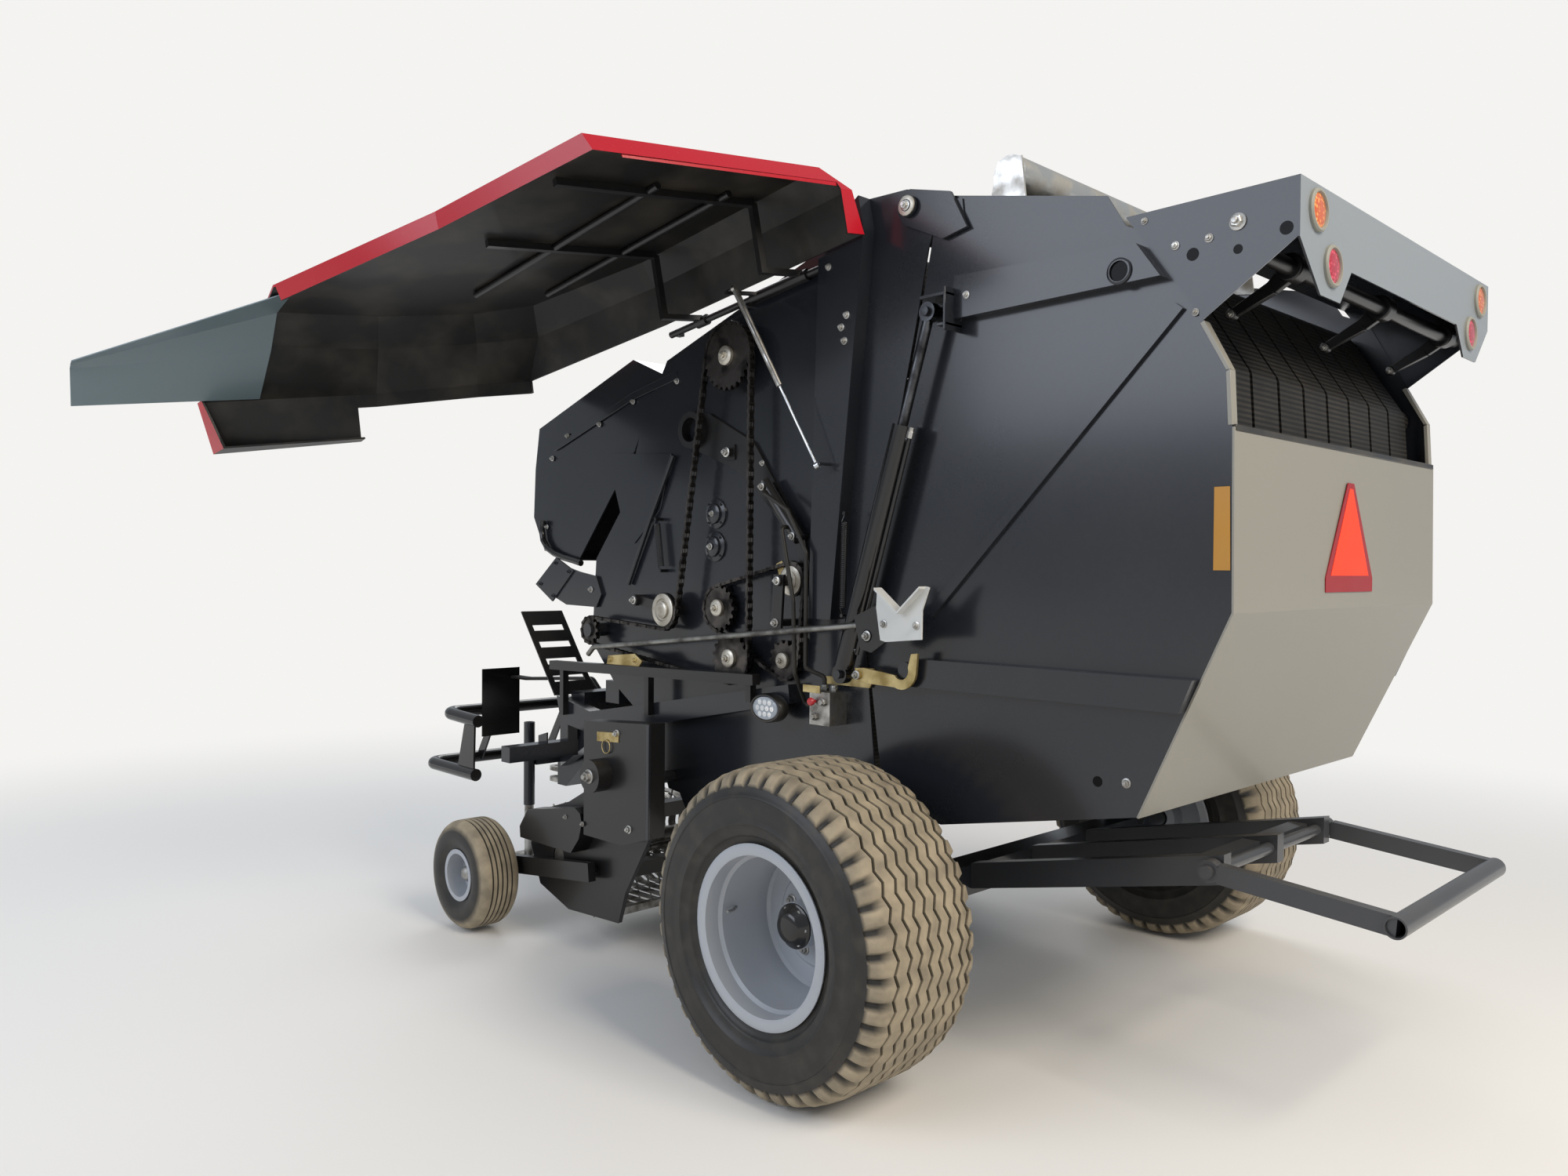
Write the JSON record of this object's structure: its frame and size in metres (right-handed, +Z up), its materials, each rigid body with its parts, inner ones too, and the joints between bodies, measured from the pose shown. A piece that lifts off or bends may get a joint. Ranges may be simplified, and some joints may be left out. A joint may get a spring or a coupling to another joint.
{
  "type": "round baler",
  "caption": "Trailed round baler with a belt chamber, hinged tailgate, tined pickup, open left side shield over the chain drives, ramp and push bar, standing on its parking jack.",
  "frame": {"origin": "centre of the hitch pin's bore", "axes": "+X runs to the rear, +Y to the machine's right, +Z up; the floor is at Z = -0.430 m"},
  "size_m": [4.9619, 4.2504, 3.0657],
  "materials": {
    "charcoal_paint": "satin powder coat",
    "black_paint": "satin",
    "grey_paint": "satin powder coat",
    "slate_paint": "satin powder coat",
    "red_plastic": "moulded, gloss outside",
    "silver_paint": "satin",
    "tyre_rubber": "moulded rubber",
    "belt_rubber": "textured rubber and fabric belt",
    "hose_rubber": "wrapped rubber hose",
    "bare_steel": "worn bare steel",
    "chain_steel": "oiled steel",
    "zinc": "yellow zinc plate",
    "chrome_rod": "ground and chromed",
    "lamp_lens": "moulded lens",
    "emblem_plastic": "fluorescent sheet",
    "black_plastic": "moulded"
  },
  "bodies": {
    "chassis": {"axle_beam": "charcoal_paint", "chamber_side_left": "charcoal_paint", "chamber_side_right": "charcoal_paint", "main_frame": "charcoal_paint", "drawbar": "charcoal_paint", "hitch_clevis": "bare_steel", "gearbox": "charcoal_paint", "driveline": "black_plastic", "front_guard": "black_paint", "net_hood": "charcoal_paint", "front_belts": "belt_rubber", "drive_sprockets": "bare_steel", "drive_chains": "chain_steel", "tension_arm": "black_paint", "hinge_bars": "black_paint", "side_rails": "black_paint", "work_lamp": "black_plastic", "valve_block": "bare_steel", "ramp_arms": "black_paint", "gate_hooks": "zinc", "lock_bracket": "silver_paint", "hoses": "hose_rubber"},
    "wheel_left": {"rim_left": "silver_paint", "tyre_left": "tyre_rubber"},
    "wheel_right": {"rim_right": "silver_paint", "tyre_right": "tyre_rubber"},
    "jack": {"jack_leg": "bare_steel"},
    "tailgate": {"gate_side_left": "charcoal_paint", "gate_side_right": "charcoal_paint", "rear_panel": "grey_paint", "gate_belts": "belt_rubber", "top_roller": "bare_steel", "lamp_hood": "slate_paint", "rear_lamps": "lamp_lens", "emblem": "emblem_plastic"},
    "barrel_left": {"gate_cylinder_left": "black_paint"},
    "barrel_right": {"gate_cylinder_right": "black_paint"},
    "ram_left": {"gate_rod_left": "chrome_rod"},
    "ram_right": {"gate_rod_right": "chrome_rod"},
    "left_shield": {"shield_left": "red_plastic", "shield_frame_left": "black_paint", "shield_nose_left": "slate_paint"},
    "right_shield": {"shield_right": "red_plastic", "shield_frame_right": "black_paint", "shield_nose_right": "slate_paint"},
    "left_strut_rod": {"strut_rod_left": "chrome_rod"},
    "right_strut_rod": {"strut_rod_right": "chrome_rod"},
    "left_strut_tube": {"strut_tube_left": "bare_steel"},
    "right_strut_tube": {"strut_tube_right": "bare_steel"},
    "pusher": {"push_bar": "black_paint"},
    "pickup": {"pickup_frame": "black_paint", "pickup_strippers": "bare_steel", "drive_cover": "charcoal_paint", "gauge_arm_left": "black_paint", "gauge_arm_right": "black_paint"},
    "reel": {"pickup_reel": "bare_steel"},
    "gauge_wheel_left": {"gauge_rim_left": "silver_paint", "gauge_tyre_left": "tyre_rubber"},
    "gauge_wheel_right": {"gauge_rim_right": "silver_paint", "gauge_tyre_right": "tyre_rubber"}
  },
  "joints": [
    {"name": "wheel_left_turn", "type": "hinge", "parent": "chassis", "child": "wheel_left", "pos_m": [3.35, -1.236, 0.1], "axis": [0, 1, 0], "continuous": true},
    {"name": "wheel_right_turn", "type": "hinge", "parent": "chassis", "child": "wheel_right", "pos_m": [3.35, 1.236, 0.1], "axis": [0, 1, 0], "continuous": true},
    {"name": "jack_slide", "type": "slide", "parent": "chassis", "child": "jack", "axis": [0, 0, 1], "range_m": [0, 0.28]},
    {"name": "tailgate_open", "type": "hinge", "parent": "chassis", "child": "tailgate", "pos_m": [3.44, 0, 2.485], "axis": [0, -1, 0], "range_deg": [0, 60]},
    {"name": "cylinder_left_swing", "type": "hinge", "parent": "chassis", "child": "barrel_left", "pos_m": [3.19, -0.905, 0.88], "axis": [0, -1, 0], "range_deg": [-6, 0]},
    {"name": "cylinder_left_extend", "type": "slide", "parent": "barrel_left", "child": "ram_left", "axis": [0.2974, 0, 0.9548], "range_m": [0, 0.39]},
    {"name": "cylinder_right_swing", "type": "hinge", "parent": "chassis", "child": "barrel_right", "pos_m": [3.19, 0.905, 0.88], "axis": [0, -1, 0], "range_deg": [-6, 0]},
    {"name": "cylinder_right_extend", "type": "slide", "parent": "barrel_right", "child": "ram_right", "axis": [0.2974, 0, 0.9548], "range_m": [0, 0.39]},
    {"name": "left_shield_swing", "type": "hinge", "parent": "chassis", "child": "left_shield", "pos_m": [3.1, -0.87, 2.355], "axis": [-0.9903, 0, -0.1392], "range_deg": [-85, 0]},
    {"name": "right_shield_swing", "type": "hinge", "parent": "chassis", "child": "right_shield", "pos_m": [3.1, 0.87, 2.355], "axis": [0.9903, 0, 0.1392], "range_deg": [0, 85]},
    {"name": "left_strut_swing", "type": "hinge", "parent": "chassis", "child": "left_strut_rod", "pos_m": [3.1, -0.95, 1.62], "axis": [-0.7982, -0.374, -0.4723], "range_deg": [0, 12.3]},
    {"name": "left_strut_extend", "type": "slide", "parent": "left_strut_rod", "child": "left_strut_tube", "axis": [-0.4763, -0.0883, 0.8748], "range_m": [-0.134, 0]},
    {"name": "right_strut_swing", "type": "hinge", "parent": "chassis", "child": "right_strut_rod", "pos_m": [3.1, 0.95, 1.62], "axis": [-0.7982, 0.374, -0.4723], "range_deg": [0, 12.3]},
    {"name": "right_strut_extend", "type": "slide", "parent": "right_strut_rod", "child": "right_strut_tube", "axis": [-0.5435, -0.1087, 0.8323], "range_m": [0, 0.134]},
    {"name": "push_bar_swing", "type": "hinge", "parent": "chassis", "child": "pusher", "pos_m": [4.34, 0, 0.32], "axis": [0, 1, 0], "range_deg": [0, 40]},
    {"name": "pickup_lift", "type": "hinge", "parent": "chassis", "child": "pickup", "pos_m": [2.15, 0, 0.37], "axis": [0, 1, 0], "range_deg": [0, 15]},
    {"name": "reel_turn", "type": "hinge", "parent": "pickup", "child": "reel", "pos_m": [1.57, 0, -0.045], "axis": [0, 1, 0], "continuous": true},
    {"name": "gauge_left_turn", "type": "hinge", "parent": "pickup", "child": "gauge_wheel_left", "pos_m": [1.15, -1.2, -0.1675], "axis": [0, 1, 0], "continuous": true},
    {"name": "gauge_right_turn", "type": "hinge", "parent": "pickup", "child": "gauge_wheel_right", "pos_m": [1.15, 1.2, -0.1675], "axis": [0, 1, 0], "continuous": true}
  ],
  "couplings": [
    {"joint": "cylinder_left_swing", "follows": "tailgate_open", "ratio": -0.095554},
    {"joint": "cylinder_left_extend", "follows": "tailgate_open", "m_per_rad": 0.36229},
    {"joint": "cylinder_right_swing", "follows": "tailgate_open", "ratio": -0.095554},
    {"joint": "cylinder_right_extend", "follows": "tailgate_open", "m_per_rad": 0.36229},
    {"joint": "left_strut_swing", "follows": "left_shield_swing", "ratio": -0.14349},
    {"joint": "left_strut_extend", "follows": "left_shield_swing", "m_per_rad": 0.089853},
    {"joint": "right_strut_swing", "follows": "right_shield_swing", "ratio": 0.14349},
    {"joint": "right_strut_extend", "follows": "right_shield_swing", "m_per_rad": 0.089853}
  ]
}
